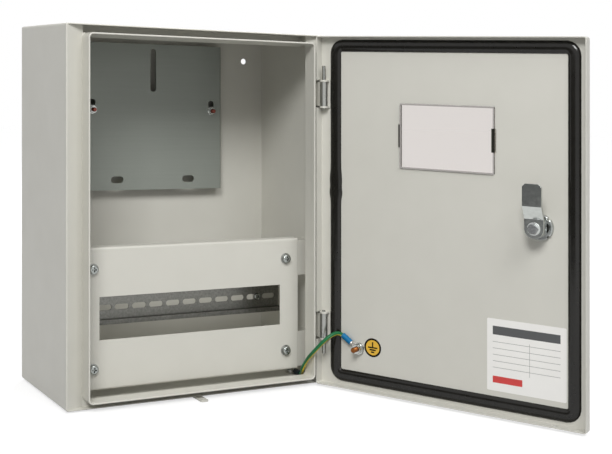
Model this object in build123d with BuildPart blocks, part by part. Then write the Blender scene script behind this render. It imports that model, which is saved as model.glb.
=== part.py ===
from build123d import *
import os
from math import cos, hypot, radians, sin, tan

# A wall-hung sheet-steel meter box with its door standing open.
# Millimetres. +X right, +Y into the wall, +Z up. The origin is the middle of the back panel's outer face.

# Overall sizes
WIDTH = 310.0
HEIGHT = 395.0
BODY_DEPTH = 149.0  # wall to the body's front fold
DOOR_STAND = 16.0  # shut door's face in front of that fold
SHEET = 1.2
BEND = 2.5  # outside radius of the folds

# Body: the sides fold back into a sloping rain gutter, which runs on as a channel above and below the lip
# that the door seals on. The channel above is a deep trough, and the lip's rim is hemmed.
GUTTER_SIDE = 20.0
GUTTER_TOP = 9.0
GUTTER_FOOT = 7.2
GUTTER_DROP = 8.5
FRONT_ROUND = 0.9
LIP_CORNER = 5.5
RIM_HEM = 1.8
RIM_HEM_DEPTH = 6.0
RIM_ROUND = 0.75
TROUGH_DROP = 22.0  # front fold to the trough's floor
TROUGH_FALL = 3.0
WALL_HOLE_RADIUS = 3.5
WALL_HOLE_SIDE = 27.0
WALL_HOLE_END = 30.0
LUG_WIDTH = 9.0
LUG_THICK = 1.6
LUG_OVERLAP = 22.0
LUG_X = -6.0
LUG_HOLE_RADIUS = 1.6

# Door pan
DOOR_OPEN = 118.0  # degrees from closed
DOOR_MARGIN = 1.0  # door edge inside the body's outline
DOOR_FLANGE = 12.5
DRAIN_RADIUS = 2.5
DRAIN_EDGE = 34.0
DRAIN_BACK = 6.0
GASKET_WIDTH = 13.0
GASKET_HEIGHT = 3.2
GASKET_CORNER = 13.0
GASKET_INNER_CORNER = 4.0
GASKET_ROUND = 1.4
GASKET_CLEAR = 0.3  # seal to lip with the door shut
GASKET_FREE_OUT = 4.4  # seal's middle outside the lip's line at the free edge
GASKET_TOP_IN = 2.7  # and inside it at the top
GASKET_FOOT_IN = 5.2

# Hinges
HINGE_IN = 7.0  # axis from the door's hinge edge
HINGE_BACK = 7.0  # axis behind the door's face
HINGE_END = 66.5
PIN_RADIUS = 2.0
PIN_PROUD = 16.0
PIN_TAIL = 1.5
PIN_CHAMFER = 0.6
RUNNING_FIT = 0.05
BARREL_RADIUS = 4.2
BARREL_LENGTH = 27.0
LEAF_THICK = 1.5
LEAF_FOOT_GAP = 1.0
EAR_RADIUS = 4.6
EAR_THICK = 2.0
EAR_CLEAR = 0.3
BRACKET_WEB = 1.2
BRACKET_EDGE = 3.5
BRACKET_WIDTH = 9.2
NOTCH_CLEAR = 2.0
NOTCH_START = 4.0

# Window in the door
PANE_WIDTH = 109.0
PANE_HEIGHT = 71.0
PANE_DROP = 108.5  # middle below the door's top edge
PANE_BEZEL = 3.5
PANE_THICK = 2.0
PANE_FIT = 0.15
PANE_WALL = 1.6
PANE_PROUD = 1.6
PANE_CORNER = 1.5
CLIP_LENGTH = 25.0
CLIP_HOOK = 1.6
CLIP_THICK = 1.2
CLIP_GAP = 0.2

# Cam lock
LOCK_EDGE = 50.0  # axis from the door's free edge
LOCK_RISE = 2.75  # and above the door's middle
LOCK_RADIUS = 10.0
LOCK_FLATS = 17.0
LOCK_LENGTH = 20.0
LOCK_FIT = 0.15
LOCK_HEAD_RADIUS = 12.5
LOCK_HEAD = 4.0
LOCK_CHAMFER = 1.2
LOCK_PORT_RADIUS = 2.6
LOCK_PORT_DEPTH = 1.2
LOCK_PORT_W = 11.0
NUT_RADIUS = 13.5
NUT_THICK = 5.0
NUT_CHAMFER = 1.0
NUT_SLOT = 3.0
NUT_SLOT_DEPTH = 1.8
PLUG_RADIUS = 6.5
PLUG_RECESS = 0.4
PLUG_SHOULDER = 0.3
PLUG_SQUARE = 8.0
KEYWAY = 1.8
KEYWAY_LENGTH = 8.0
KEYWAY_DEPTH = 6.0
CAM_THICK = 2.5
CAM_WIDTH = 20.0
CAM_BEHIND_LIP = 15.7
CAM_CLEAR = 1.0
CAM_BEND_START = 11.0
CAM_BEND_END = 24.0
CAM_CORNER = 3.0
CAM_FIT = 0.1

# Meter plate
PLATE_STAND = 15.0  # plate face in front of the wall
PLATE_WIDTH = 180.0
PLATE_HEIGHT = 171.0
PLATE_TOP = 14.0
PLATE_STUD_SIDE = 14.0
PLATE_STUD_DROP = 77.5  # below the plate's top edge, as the two drops further on
KEYHOLE_RISE = 8.0
KEYHOLE_RADIUS = 4.0
METER_SLOT_LENGTH = 50.5
METER_SLOT_WIDTH = 7.5
METER_SLOT_DROP = 30.5
METER_FOOT_X = 45.5
METER_FOOT_DROP = 159.0
METER_FOOT_LENGTH = 15.5
METER_FOOT_WIDTH = 8.0

# Front cover over the module row
COVER_INSET = 25.0  # cover face behind the body's front fold
COVER_HEIGHT = 150.0
COVER_BOTTOM = 11.5
COVER_GAP = 0.8
COVER_RETURN = 12.0
COVER_SCREW_SIDE = 16.3
COVER_SCREW_RISE = 52.5
WINDOW_WIDTH = 219.0
WINDOW_HEIGHT = 45.5

# Welded brackets
BRACKET_THICK = 1.5
BRACKET_LEG = 28.0
BRACKET_HEIGHT = 40.0
BRACKET_PAST = 11.0  # bracket past its screw

# Top-hat rail
MODULE_DEPTH = 55.0  # cover face to the rail's back
RAIL_HEIGHT = 35.0
RAIL_DEPTH = 7.5
RAIL_THICK = 1.0
RAIL_WEB = 27.0
RAIL_LIP = 5.0
RAIL_END_GAP = 16.0
RAIL_PITCH = 20.75
RAIL_SLOT_LENGTH = 16.8
RAIL_SLOT_WIDTH = 6.2
RAIL_SCREW_SLOT = 5  # fixing slot, counted from the middle
RAIL_BRACKET_HEIGHT = 26.0

# Fasteners
COVER_SCREW_RADIUS = 2.5
COVER_HEAD_RADIUS = 5.0
COVER_HEAD = 3.8
COVER_HEAD_DOME = 1.6
COVER_WASHER_RADIUS = 6.0
SCREW_RADIUS = 2.0
SCREW_HEAD_RADIUS = 4.2
SCREW_HEAD = 3.0
SCREW_DOME = 1.2
SCREW_PAST = 4.0
SCREW_HOLE_CLEAR = 0.4
WASHER_RADIUS = 5.0
WASHER_THICK = 1.0
STUD_RADIUS = 2.5
STUD_NUT_FLATS = 8.0
STUD_NUT_THICK = 4.0
STUD_PROUD = 4.0
M6_RADIUS = 3.0
M6_NUT_FLATS = 10.0
M6_NUT_THICK = 5.0
M6_HEAD = 4.0
M6_WASHER_RADIUS = 6.5
M6_WASHER_THICK = 1.2
BOLT_DEPTH = 6.5
HOLE_FIT = 0.2
STUD_TIP_CHAMFER = 0.5

# Earth points and bonding lead
DOOR_EARTH_U = 49.0
DOOR_EARTH_RISE = 45.0
DOOR_TERMINAL_TURN = 146.0
BODY_EARTH_SIDE = 17.0
BODY_EARTH_INSET = 49.0
EARTH_PROUD = 6.5
EYE_RADIUS = 5.8
TONGUE_WIDTH = 5.0
TONGUE_THICK = 1.0
TONGUE_LENGTH = 9.8
CRIMP_RADIUS = 2.4
CRIMP_START = 8.5
CRIMP_END = 18.0
SLEEVE_START = 10.0
SLEEVE_END = 22.5
SLEEVE_WALL = 0.65
WIRE_RADIUS = 2.2
WIRE_LEAD = 24.0

# Worked out from the sizes above
DEPTH = BODY_DEPTH + DOOR_STAND
INNER_WIDTH = WIDTH - 2 * SHEET
INNER_HEIGHT = HEIGHT - 2 * SHEET
LIP_WIDTH = WIDTH - 2 * GUTTER_SIDE
LIP_HEIGHT = HEIGHT - GUTTER_TOP - GUTTER_FOOT
LIP_MIDDLE = (0, (GUTTER_FOOT - GUTTER_TOP) / 2)
MOUTH_WIDTH = LIP_WIDTH - 2 * SHEET
MOUTH_HEIGHT = LIP_HEIGHT - 2 * SHEET
GUTTER_RUN = (INNER_WIDTH - LIP_WIDTH) / 2
GUTTER_SKIN = SHEET * hypot(GUTTER_DROP, GUTTER_RUN) / GUTTER_RUN
GUTTER_BACK = BODY_DEPTH - GUTTER_DROP - GUTTER_SKIN
RIM_DEPTH = DEPTH - SHEET - GASKET_HEIGHT - GASKET_CLEAR
LIP_TOP = HEIGHT / 2 - GUTTER_TOP
TROUGH_STAND = BODY_DEPTH - TROUGH_DROP

DOOR_WIDTH = WIDTH - 2 * DOOR_MARGIN
DOOR_HEIGHT = HEIGHT - 2 * DOOR_MARGIN
HINGE_Z = HEIGHT / 2 - HINGE_END
HINGE_X = DOOR_WIDTH / 2 - HINGE_IN
HINGE_Y = HINGE_BACK - DEPTH
PANE_Z = DOOR_HEIGHT / 2 - PANE_DROP
LOCK_U = DOOR_WIDTH - LOCK_EDGE
CAM_SEAT = LOCK_LENGTH + PLUG_SHOULDER
CAM_CRANK = DEPTH - GUTTER_BACK + CAM_CLEAR - CAM_SEAT
CAM_REACH = MOUTH_WIDTH / 2 - (DOOR_WIDTH / 2 - LOCK_EDGE) + CAM_BEHIND_LIP

PLATE_TOP_Z = HEIGHT / 2 - PLATE_TOP
PLATE_Z = PLATE_TOP_Z - PLATE_HEIGHT / 2
PLATE_STUD_Z = PLATE_TOP_Z - PLATE_STUD_DROP
METER_SLOT_Z = PLATE_TOP_Z - METER_SLOT_DROP
METER_FOOT_Z = PLATE_TOP_Z - METER_FOOT_DROP
PLATE_STUD_X = PLATE_WIDTH / 2 - PLATE_STUD_SIDE
COVER_STAND = BODY_DEPTH - COVER_INSET
RAIL_STAND = COVER_STAND - MODULE_DEPTH
COVER_WIDTH = MOUTH_WIDTH - 2 * COVER_GAP
COVER_Z = COVER_BOTTOM + COVER_HEIGHT / 2 - HEIGHT / 2
COVER_SCREW_X = COVER_WIDTH / 2 - COVER_SCREW_SIDE
RAIL_LENGTH = INNER_WIDTH - 2 * RAIL_END_GAP
RAIL_SLOTS = 2 * int((RAIL_LENGTH - RAIL_SLOT_LENGTH) / 2 / RAIL_PITCH) + 1
RAIL_SCREW_X = RAIL_SCREW_SLOT * RAIL_PITCH + (RAIL_SLOT_LENGTH - RAIL_SLOT_WIDTH) / 2
BODY_EARTH_X = WIDTH / 2 - BODY_EARTH_SIDE
BODY_EARTH_Y = BODY_EARTH_INSET - BODY_DEPTH
DOOR_EARTH_Z = DOOR_EARTH_RISE - DOOR_HEIGHT / 2

# The door's own plane: local x runs from the hinge edge to the free edge, local y is up, and its normal
# points from the door's outer face into the box.
SWING = radians(DOOR_OPEN)
DOOR_ALONG = Vector(-cos(SWING), -sin(SWING), 0)
DOOR_INWARD = Vector(-sin(SWING), cos(SWING), 0)
HINGE_POINT = Vector(HINGE_X, HINGE_Y, 0)
DOOR_CORNER = HINGE_POINT - DOOR_ALONG * HINGE_IN - DOOR_INWARD * HINGE_BACK
DOOR = Plane(origin=DOOR_CORNER, x_dir=DOOR_ALONG, z_dir=DOOR_INWARD)
DOOR_NORMAL = Axis(DOOR_CORNER, DOOR_INWARD)
DOOR_MIDDLE = (DOOR_WIDTH / 2, 0)
PANE_MIDDLE = (DOOR_WIDTH / 2, PANE_Z)
LOCK_SPOT = (LOCK_U, LOCK_RISE)

os.makedirs("parts", exist_ok=True)


def front(stand):
    """Plane parallel to the wall, a distance in front of it; local x is X and local y is Z."""
    return Plane.XZ.offset(stand)


def door_plan(z):
    """Level plane through the door: local x is along the door, local y is its depth from the outer face."""
    return Plane(origin=DOOR_CORNER + Vector(0, 0, z), x_dir=DOOR_ALONG, z_dir=(0, 0, -1))


def gutter_y(x):
    """Face of the side gutter at a distance from the middle."""
    return GUTTER_DROP * (INNER_WIDTH / 2 - x) / GUTTER_RUN - BODY_DEPTH


# Body shell: five-sided box, gutter, lip, trough and wall holes
with BuildPart() as gutter_fold:
    with BuildSketch(Plane.XY):
        Polygon(
            (-INNER_WIDTH / 2, -BODY_DEPTH),
            (-LIP_WIDTH / 2, GUTTER_DROP - BODY_DEPTH),
            (LIP_WIDTH / 2, GUTTER_DROP - BODY_DEPTH),
            (INNER_WIDTH / 2, -BODY_DEPTH),
            (INNER_WIDTH / 2, GUTTER_SKIN - BODY_DEPTH),
            (LIP_WIDTH / 2, -GUTTER_BACK),
            (-LIP_WIDTH / 2, -GUTTER_BACK),
            (-INNER_WIDTH / 2, GUTTER_SKIN - BODY_DEPTH),
            align=None,
        )
    extrude(amount=INNER_HEIGHT / 2, both=True)
    with BuildSketch(front(0)):
        RectangleRounded(INNER_WIDTH, INNER_HEIGHT, BEND - SHEET)
    extrude(amount=BODY_DEPTH, mode=Mode.INTERSECT)

with BuildPart() as body_shell:
    with BuildSketch(front(0)):
        Rectangle(WIDTH, HEIGHT)
    extrude(amount=BODY_DEPTH)
    fillet(body_shell.edges().filter_by(Axis.Y), BEND)
    fillet(body_shell.faces().sort_by(Axis.Y)[-1].edges(), BEND)
    fillet(body_shell.faces().sort_by(Axis.Y)[0].edges(), FRONT_ROUND)
    with BuildSketch(front(SHEET)):
        RectangleRounded(INNER_WIDTH, INNER_HEIGHT, BEND - SHEET)
    extrude(amount=BODY_DEPTH - SHEET, mode=Mode.SUBTRACT)
    add(gutter_fold)
    with BuildSketch(front(GUTTER_BACK)):
        with Locations(LIP_MIDDLE):
            RectangleRounded(LIP_WIDTH, LIP_HEIGHT, LIP_CORNER)
    extrude(amount=RIM_DEPTH - GUTTER_BACK)
    with BuildSketch(front(GUTTER_BACK)):
        with Locations(LIP_MIDDLE):
            RectangleRounded(MOUTH_WIDTH, MOUTH_HEIGHT, LIP_CORNER - SHEET)
    extrude(amount=RIM_DEPTH - GUTTER_BACK, mode=Mode.SUBTRACT)
    with BuildSketch(front(RIM_DEPTH - RIM_HEM_DEPTH)):
        with Locations(LIP_MIDDLE):
            RectangleRounded(LIP_WIDTH, LIP_HEIGHT, LIP_CORNER)
            RectangleRounded(
                LIP_WIDTH - 2 * RIM_HEM, LIP_HEIGHT - 2 * RIM_HEM, LIP_CORNER - RIM_HEM, mode=Mode.SUBTRACT
            )
    extrude(amount=RIM_HEM_DEPTH)
    fillet(body_shell.faces().sort_by(Axis.Y)[0].edges(), RIM_ROUND)
    with BuildSketch(Plane.YZ):
        Polygon(
            (-GUTTER_BACK, INNER_HEIGHT / 2),
            (-GUTTER_BACK, LIP_TOP - SHEET),
            (SHEET - TROUGH_STAND, LIP_TOP - SHEET - TROUGH_FALL),
            (SHEET - TROUGH_STAND, INNER_HEIGHT / 2),
            align=None,
        )
    extrude(amount=LIP_WIDTH / 2, both=True)
    with BuildSketch(Plane.YZ):
        Polygon(
            (-BODY_DEPTH, INNER_HEIGHT / 2),
            (-BODY_DEPTH, LIP_TOP),
            (-GUTTER_BACK, LIP_TOP),
            (-TROUGH_STAND, LIP_TOP - TROUGH_FALL),
            (-TROUGH_STAND, INNER_HEIGHT / 2),
            align=None,
        )
    extrude(amount=LIP_WIDTH / 2 - SHEET, both=True, mode=Mode.SUBTRACT)
    with BuildSketch(front(0)):
        with GridLocations(WIDTH - 2 * WALL_HOLE_SIDE, HEIGHT - 2 * WALL_HOLE_END, 2, 2):
            Circle(WALL_HOLE_RADIUS)
    extrude(amount=SHEET, mode=Mode.SUBTRACT)
body_shell.part.label = "body_shell"
export_step(body_shell.part, "parts/body_shell.step")

# Sealing lug: flat tongue under the bottom, reaching out below the shut door
LUG_LENGTH = DEPTH - BODY_DEPTH + LUG_OVERLAP
with BuildPart() as sealing_lug:
    with BuildSketch(Plane.XY.offset(-HEIGHT / 2)):
        with Locations((LUG_X, LUG_LENGTH / 2 - DEPTH)):
            RectangleRounded(LUG_WIDTH, LUG_LENGTH, LUG_WIDTH / 4)
        with Locations((LUG_X, LUG_WIDTH / 2 - DEPTH)):
            Circle(LUG_HOLE_RADIUS, mode=Mode.SUBTRACT)
    extrude(amount=-LUG_THICK)
sealing_lug.part.label = "sealing_lug"
export_step(sealing_lug.part, "parts/sealing_lug.step")

# Hinges: a rolled barrel with a leaf in the gutter, a U bracket in the door and a pin through both
LEAF_LEFT = HINGE_X - BARREL_RADIUS
LEAF_RIGHT = LEAF_LEFT + LEAF_THICK
FOOT_LEFT = LIP_WIDTH / 2 + LEAF_FOOT_GAP
BRACKET_HALF = BARREL_LENGTH / 2 + EAR_CLEAR
EAR_FOOT = HINGE_IN + EAR_RADIUS - BRACKET_EDGE
for level, z, up in (("upper", HINGE_Z, 1), ("lower", -HINGE_Z, -1)):
    with BuildPart() as hinge_barrel:
        with BuildSketch(Plane.XY.offset(z)):
            with Locations((HINGE_X, HINGE_Y)):
                Circle(BARREL_RADIUS)
            Polygon(
                (LEAF_LEFT, HINGE_Y),
                (LEAF_RIGHT, HINGE_Y),
                (LEAF_RIGHT, gutter_y(LEAF_RIGHT)),
                (FOOT_LEFT, gutter_y(FOOT_LEFT)),
                (FOOT_LEFT, gutter_y(FOOT_LEFT) - LEAF_THICK),
                (LEAF_LEFT, gutter_y(LEAF_LEFT) - LEAF_THICK),
                align=None,
            )
            with Locations((HINGE_X, HINGE_Y)):
                Circle(PIN_RADIUS + RUNNING_FIT, mode=Mode.SUBTRACT)
        extrude(amount=BARREL_LENGTH / 2, both=True)
    hinge_barrel.part.label = f"hinge_barrel_{level}"
    export_step(hinge_barrel.part, f"parts/hinge_barrel_{level}.step")

    with BuildPart() as hinge_bracket:
        with BuildSketch(door_plan(z)):
            with Locations((BRACKET_EDGE, SHEET)):
                Rectangle(BRACKET_WIDTH, BRACKET_WEB, align=(Align.MIN, Align.MIN))
            with Locations((HINGE_IN, HINGE_BACK)):
                Circle(EAR_RADIUS)
            with Locations((BRACKET_EDGE, SHEET)):
                Rectangle(EAR_FOOT, HINGE_BACK - SHEET, align=(Align.MIN, Align.MIN))
        extrude(amount=BRACKET_HALF + EAR_THICK, both=True)
        with BuildSketch(door_plan(z)):
            with Locations((HINGE_IN, SHEET + BRACKET_WEB)):
                Rectangle(4 * EAR_RADIUS, 4 * EAR_RADIUS, align=(Align.CENTER, Align.MIN))
        extrude(amount=BRACKET_HALF, both=True, mode=Mode.SUBTRACT)
        with BuildSketch(door_plan(z)):
            with Locations((HINGE_IN, HINGE_BACK)):
                Circle(PIN_RADIUS + RUNNING_FIT)
        extrude(amount=BRACKET_HALF + EAR_THICK, both=True, mode=Mode.SUBTRACT)
    hinge_bracket.part.label = f"hinge_bracket_{level}"
    export_step(hinge_bracket.part, f"parts/hinge_bracket_{level}.step")

    with BuildPart() as hinge_pin:
        with BuildSketch(Plane.XY.offset(z - up * (BRACKET_HALF + EAR_THICK + PIN_TAIL))):
            with Locations((HINGE_X, HINGE_Y)):
                Circle(PIN_RADIUS)
        extrude(amount=up * (2 * BRACKET_HALF + 2 * EAR_THICK + PIN_TAIL + PIN_PROUD))
        chamfer(hinge_pin.edges().filter_by(GeomType.CIRCLE), PIN_CHAMFER)
    hinge_pin.part.label = f"hinge_pin_{level}"
    export_step(hinge_pin.part, f"parts/hinge_pin_{level}.step")

# Meter plate: channel that stands on the back panel by its folded sides
with BuildPart() as meter_plate:
    with BuildSketch(front(SHEET)):
        with Locations((0, PLATE_Z)):
            Rectangle(PLATE_WIDTH, PLATE_HEIGHT)
    extrude(amount=PLATE_STAND - SHEET)
    fillet(meter_plate.faces().sort_by(Axis.Y)[0].edges().filter_by(Axis.Z), BEND)
    with BuildSketch(front(SHEET)):
        with Locations((0, PLATE_Z)):
            Rectangle(PLATE_WIDTH - 2 * SHEET, PLATE_HEIGHT)
    extrude(amount=PLATE_STAND - 2 * SHEET, mode=Mode.SUBTRACT)
    with BuildSketch(front(PLATE_STAND)):
        with Locations((0, METER_SLOT_Z)):
            SlotOverall(METER_SLOT_LENGTH, METER_SLOT_WIDTH, rotation=90)
        with Locations((-METER_FOOT_X, METER_FOOT_Z), (METER_FOOT_X, METER_FOOT_Z)):
            SlotOverall(METER_FOOT_LENGTH, METER_FOOT_WIDTH)
        with Locations((-PLATE_STUD_X, PLATE_STUD_Z), (PLATE_STUD_X, PLATE_STUD_Z)):
            Circle(STUD_RADIUS + HOLE_FIT)
            Rectangle(2 * (STUD_RADIUS + HOLE_FIT), KEYHOLE_RISE, align=(Align.CENTER, Align.MIN))
        with Locations(
            (-PLATE_STUD_X, PLATE_STUD_Z + KEYHOLE_RISE), (PLATE_STUD_X, PLATE_STUD_Z + KEYHOLE_RISE)
        ):
            Circle(KEYHOLE_RADIUS)
    extrude(amount=-SHEET, mode=Mode.SUBTRACT)
meter_plate.part.label = "meter_plate"
export_step(meter_plate.part, "parts/meter_plate.step")

# Weld studs, washers and nuts that hold the meter plate
PLATE_SPOTS = ((-PLATE_STUD_X, PLATE_STUD_Z), (PLATE_STUD_X, PLATE_STUD_Z))
PLATE_NUT_SEAT = PLATE_STAND + WASHER_THICK
with BuildPart() as plate_studs:
    with BuildSketch(front(SHEET)):
        with Locations(*PLATE_SPOTS):
            Circle(STUD_RADIUS)
    extrude(amount=PLATE_NUT_SEAT + STUD_NUT_THICK + STUD_PROUD - SHEET)
    chamfer(plate_studs.faces().group_by(Axis.Y)[0].edges(), STUD_TIP_CHAMFER)
plate_studs.part.label = "plate_studs"
export_step(plate_studs.part, "parts/plate_studs.step")

with BuildPart() as plate_washers:
    with BuildSketch(front(PLATE_STAND)):
        with Locations(*PLATE_SPOTS):
            Circle(WASHER_RADIUS)
            Circle(STUD_RADIUS + HOLE_FIT, mode=Mode.SUBTRACT)
    extrude(amount=WASHER_THICK)
plate_washers.part.label = "plate_washers"
export_step(plate_washers.part, "parts/plate_washers.step")

with BuildPart() as plate_nuts:
    with BuildSketch(front(PLATE_NUT_SEAT)):
        with Locations(*PLATE_SPOTS):
            RegularPolygon(STUD_NUT_FLATS / 2, 6, major_radius=False)
            Circle(STUD_RADIUS + RUNNING_FIT, mode=Mode.SUBTRACT)
    extrude(amount=STUD_NUT_THICK)
plate_nuts.part.label = "plate_nuts"
export_step(plate_nuts.part, "parts/plate_nuts.step")

# Brackets for the cover: one leg on the side wall, one leg behind the cover
COVER_BACK = COVER_STAND - SHEET
COVER_BRACKET_START = COVER_SCREW_X - BRACKET_PAST
COVER_BRACKET_X = (COVER_BRACKET_START + INNER_WIDTH / 2) / 2
WALL_LEG_X = (INNER_WIDTH - BRACKET_THICK) / 2
for height, rise in (("upper", COVER_SCREW_RISE), ("lower", -COVER_SCREW_RISE)):
    for side, hand in (("left", -1), ("right", 1)):
        with BuildPart() as cover_bracket:
            with BuildSketch(Plane.XY.offset(COVER_Z + rise)):
                with Locations((hand * COVER_BRACKET_X, BRACKET_THICK / 2 - COVER_BACK)):
                    Rectangle(INNER_WIDTH / 2 - COVER_BRACKET_START, BRACKET_THICK)
                with Locations((hand * WALL_LEG_X, BRACKET_LEG / 2 - COVER_BACK)):
                    Rectangle(BRACKET_THICK, BRACKET_LEG)
            extrude(amount=BRACKET_HEIGHT / 2, both=True)
            with BuildSketch(front(COVER_BACK)):
                with Locations((hand * COVER_SCREW_X, COVER_Z + rise)):
                    Circle(COVER_SCREW_RADIUS + RUNNING_FIT)
            extrude(amount=-BRACKET_THICK, mode=Mode.SUBTRACT)
        cover_bracket.part.label = f"cover_bracket_{height}_{side}"
        export_step(cover_bracket.part, f"parts/cover_bracket_{height}_{side}.step")

# Front cover with the module window and folded top and bottom
with BuildPart() as front_cover:
    with BuildSketch(front(COVER_STAND - COVER_RETURN)):
        with Locations((0, COVER_Z)):
            Rectangle(COVER_WIDTH, COVER_HEIGHT)
    extrude(amount=COVER_RETURN)
    fillet(front_cover.faces().sort_by(Axis.Y)[0].edges().filter_by(Axis.X), BEND)
    with BuildSketch(front(COVER_STAND - COVER_RETURN)):
        with Locations((0, COVER_Z)):
            Rectangle(COVER_WIDTH, COVER_HEIGHT - 2 * SHEET)
    extrude(amount=COVER_RETURN - SHEET, mode=Mode.SUBTRACT)
    with BuildSketch(front(COVER_STAND)):
        with Locations((0, COVER_Z)):
            Rectangle(WINDOW_WIDTH, WINDOW_HEIGHT)
            with GridLocations(2 * COVER_SCREW_X, 2 * COVER_SCREW_RISE, 2, 2):
                Circle(COVER_SCREW_RADIUS + SCREW_HOLE_CLEAR)
    extrude(amount=-SHEET, mode=Mode.SUBTRACT)
front_cover.part.label = "front_cover"
export_step(front_cover.part, "parts/front_cover.step")

with BuildPart() as cover_washers:
    with BuildSketch(front(COVER_STAND)):
        with Locations((0, COVER_Z)):
            with GridLocations(2 * COVER_SCREW_X, 2 * COVER_SCREW_RISE, 2, 2):
                Circle(COVER_WASHER_RADIUS)
                Circle(COVER_SCREW_RADIUS + HOLE_FIT, mode=Mode.SUBTRACT)
    extrude(amount=WASHER_THICK)
cover_washers.part.label = "cover_washers"
export_step(cover_washers.part, "parts/cover_washers.step")

COVER_HEAD_SEAT = COVER_STAND + WASHER_THICK
with BuildPart() as cover_screws:
    with BuildSketch(front(COVER_HEAD_SEAT)):
        with Locations((0, COVER_Z)):
            with GridLocations(2 * COVER_SCREW_X, 2 * COVER_SCREW_RISE, 2, 2):
                Circle(COVER_HEAD_RADIUS)
    extrude(amount=COVER_HEAD)
    fillet(cover_screws.faces().group_by(Axis.Y)[0].edges(), COVER_HEAD_DOME)
    with BuildSketch(front(COVER_HEAD_SEAT)):
        with Locations((0, COVER_Z)):
            with GridLocations(2 * COVER_SCREW_X, 2 * COVER_SCREW_RISE, 2, 2):
                Circle(COVER_SCREW_RADIUS)
    extrude(amount=-(WASHER_THICK + SHEET + BRACKET_THICK + SCREW_PAST))
cover_screws.part.label = "cover_screws"
export_step(cover_screws.part, "parts/cover_screws.step")

# Brackets and rail for the modules
RAIL_BRACKET_START = RAIL_SCREW_X - SCREW_HEAD_RADIUS
RAIL_BRACKET_X = (RAIL_BRACKET_START + INNER_WIDTH / 2) / 2
for side, hand in (("left", -1), ("right", 1)):
    with BuildPart() as rail_bracket:
        with BuildSketch(Plane.XY.offset(COVER_Z)):
            with Locations((hand * RAIL_BRACKET_X, BRACKET_THICK / 2 - RAIL_STAND)):
                Rectangle(INNER_WIDTH / 2 - RAIL_BRACKET_START, BRACKET_THICK)
            with Locations((hand * WALL_LEG_X, BRACKET_LEG / 2 - RAIL_STAND)):
                Rectangle(BRACKET_THICK, BRACKET_LEG)
        extrude(amount=RAIL_BRACKET_HEIGHT / 2, both=True)
        with BuildSketch(front(RAIL_STAND)):
            with Locations((hand * RAIL_SCREW_X, COVER_Z)):
                Circle(SCREW_RADIUS + RUNNING_FIT)
        extrude(amount=-BRACKET_THICK, mode=Mode.SUBTRACT)
    rail_bracket.part.label = f"rail_bracket_{side}"
    export_step(rail_bracket.part, f"parts/rail_bracket_{side}.step")

with BuildPart() as din_rail:
    with BuildSketch(Plane.YZ):
        with Locations((-RAIL_STAND - RAIL_THICK / 2, COVER_Z)):
            Rectangle(RAIL_THICK, RAIL_WEB)
        for up in (-1, 1):
            with Locations((-RAIL_STAND - RAIL_DEPTH / 2, COVER_Z + up * (RAIL_WEB - RAIL_THICK) / 2)):
                Rectangle(RAIL_DEPTH, RAIL_THICK)
            with Locations(
                (RAIL_THICK / 2 - RAIL_STAND - RAIL_DEPTH, COVER_Z + up * (RAIL_HEIGHT - RAIL_LIP) / 2)
            ):
                Rectangle(RAIL_THICK, RAIL_LIP)
    extrude(amount=RAIL_LENGTH / 2, both=True)
    with BuildSketch(front(RAIL_STAND)):
        with Locations((0, COVER_Z)):
            with GridLocations(RAIL_PITCH, 0, RAIL_SLOTS, 1):
                SlotOverall(RAIL_SLOT_LENGTH, RAIL_SLOT_WIDTH)
    extrude(amount=RAIL_THICK, mode=Mode.SUBTRACT)
din_rail.part.label = "din_rail"
export_step(din_rail.part, "parts/din_rail.step")

RAIL_FACE = RAIL_STAND + RAIL_THICK
with BuildPart() as rail_screws:
    with BuildSketch(front(RAIL_FACE)):
        with Locations((-RAIL_SCREW_X, COVER_Z), (RAIL_SCREW_X, COVER_Z)):
            Circle(SCREW_HEAD_RADIUS)
    extrude(amount=SCREW_HEAD)
    fillet(rail_screws.faces().group_by(Axis.Y)[0].edges(), SCREW_DOME)
    with BuildSketch(front(RAIL_FACE)):
        with Locations((-RAIL_SCREW_X, COVER_Z), (RAIL_SCREW_X, COVER_Z)):
            Circle(SCREW_RADIUS)
    extrude(amount=-(RAIL_THICK + BRACKET_THICK + SCREW_PAST))
rail_screws.part.label = "rail_screws"
export_step(rail_screws.part, "parts/rail_screws.step")

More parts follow.
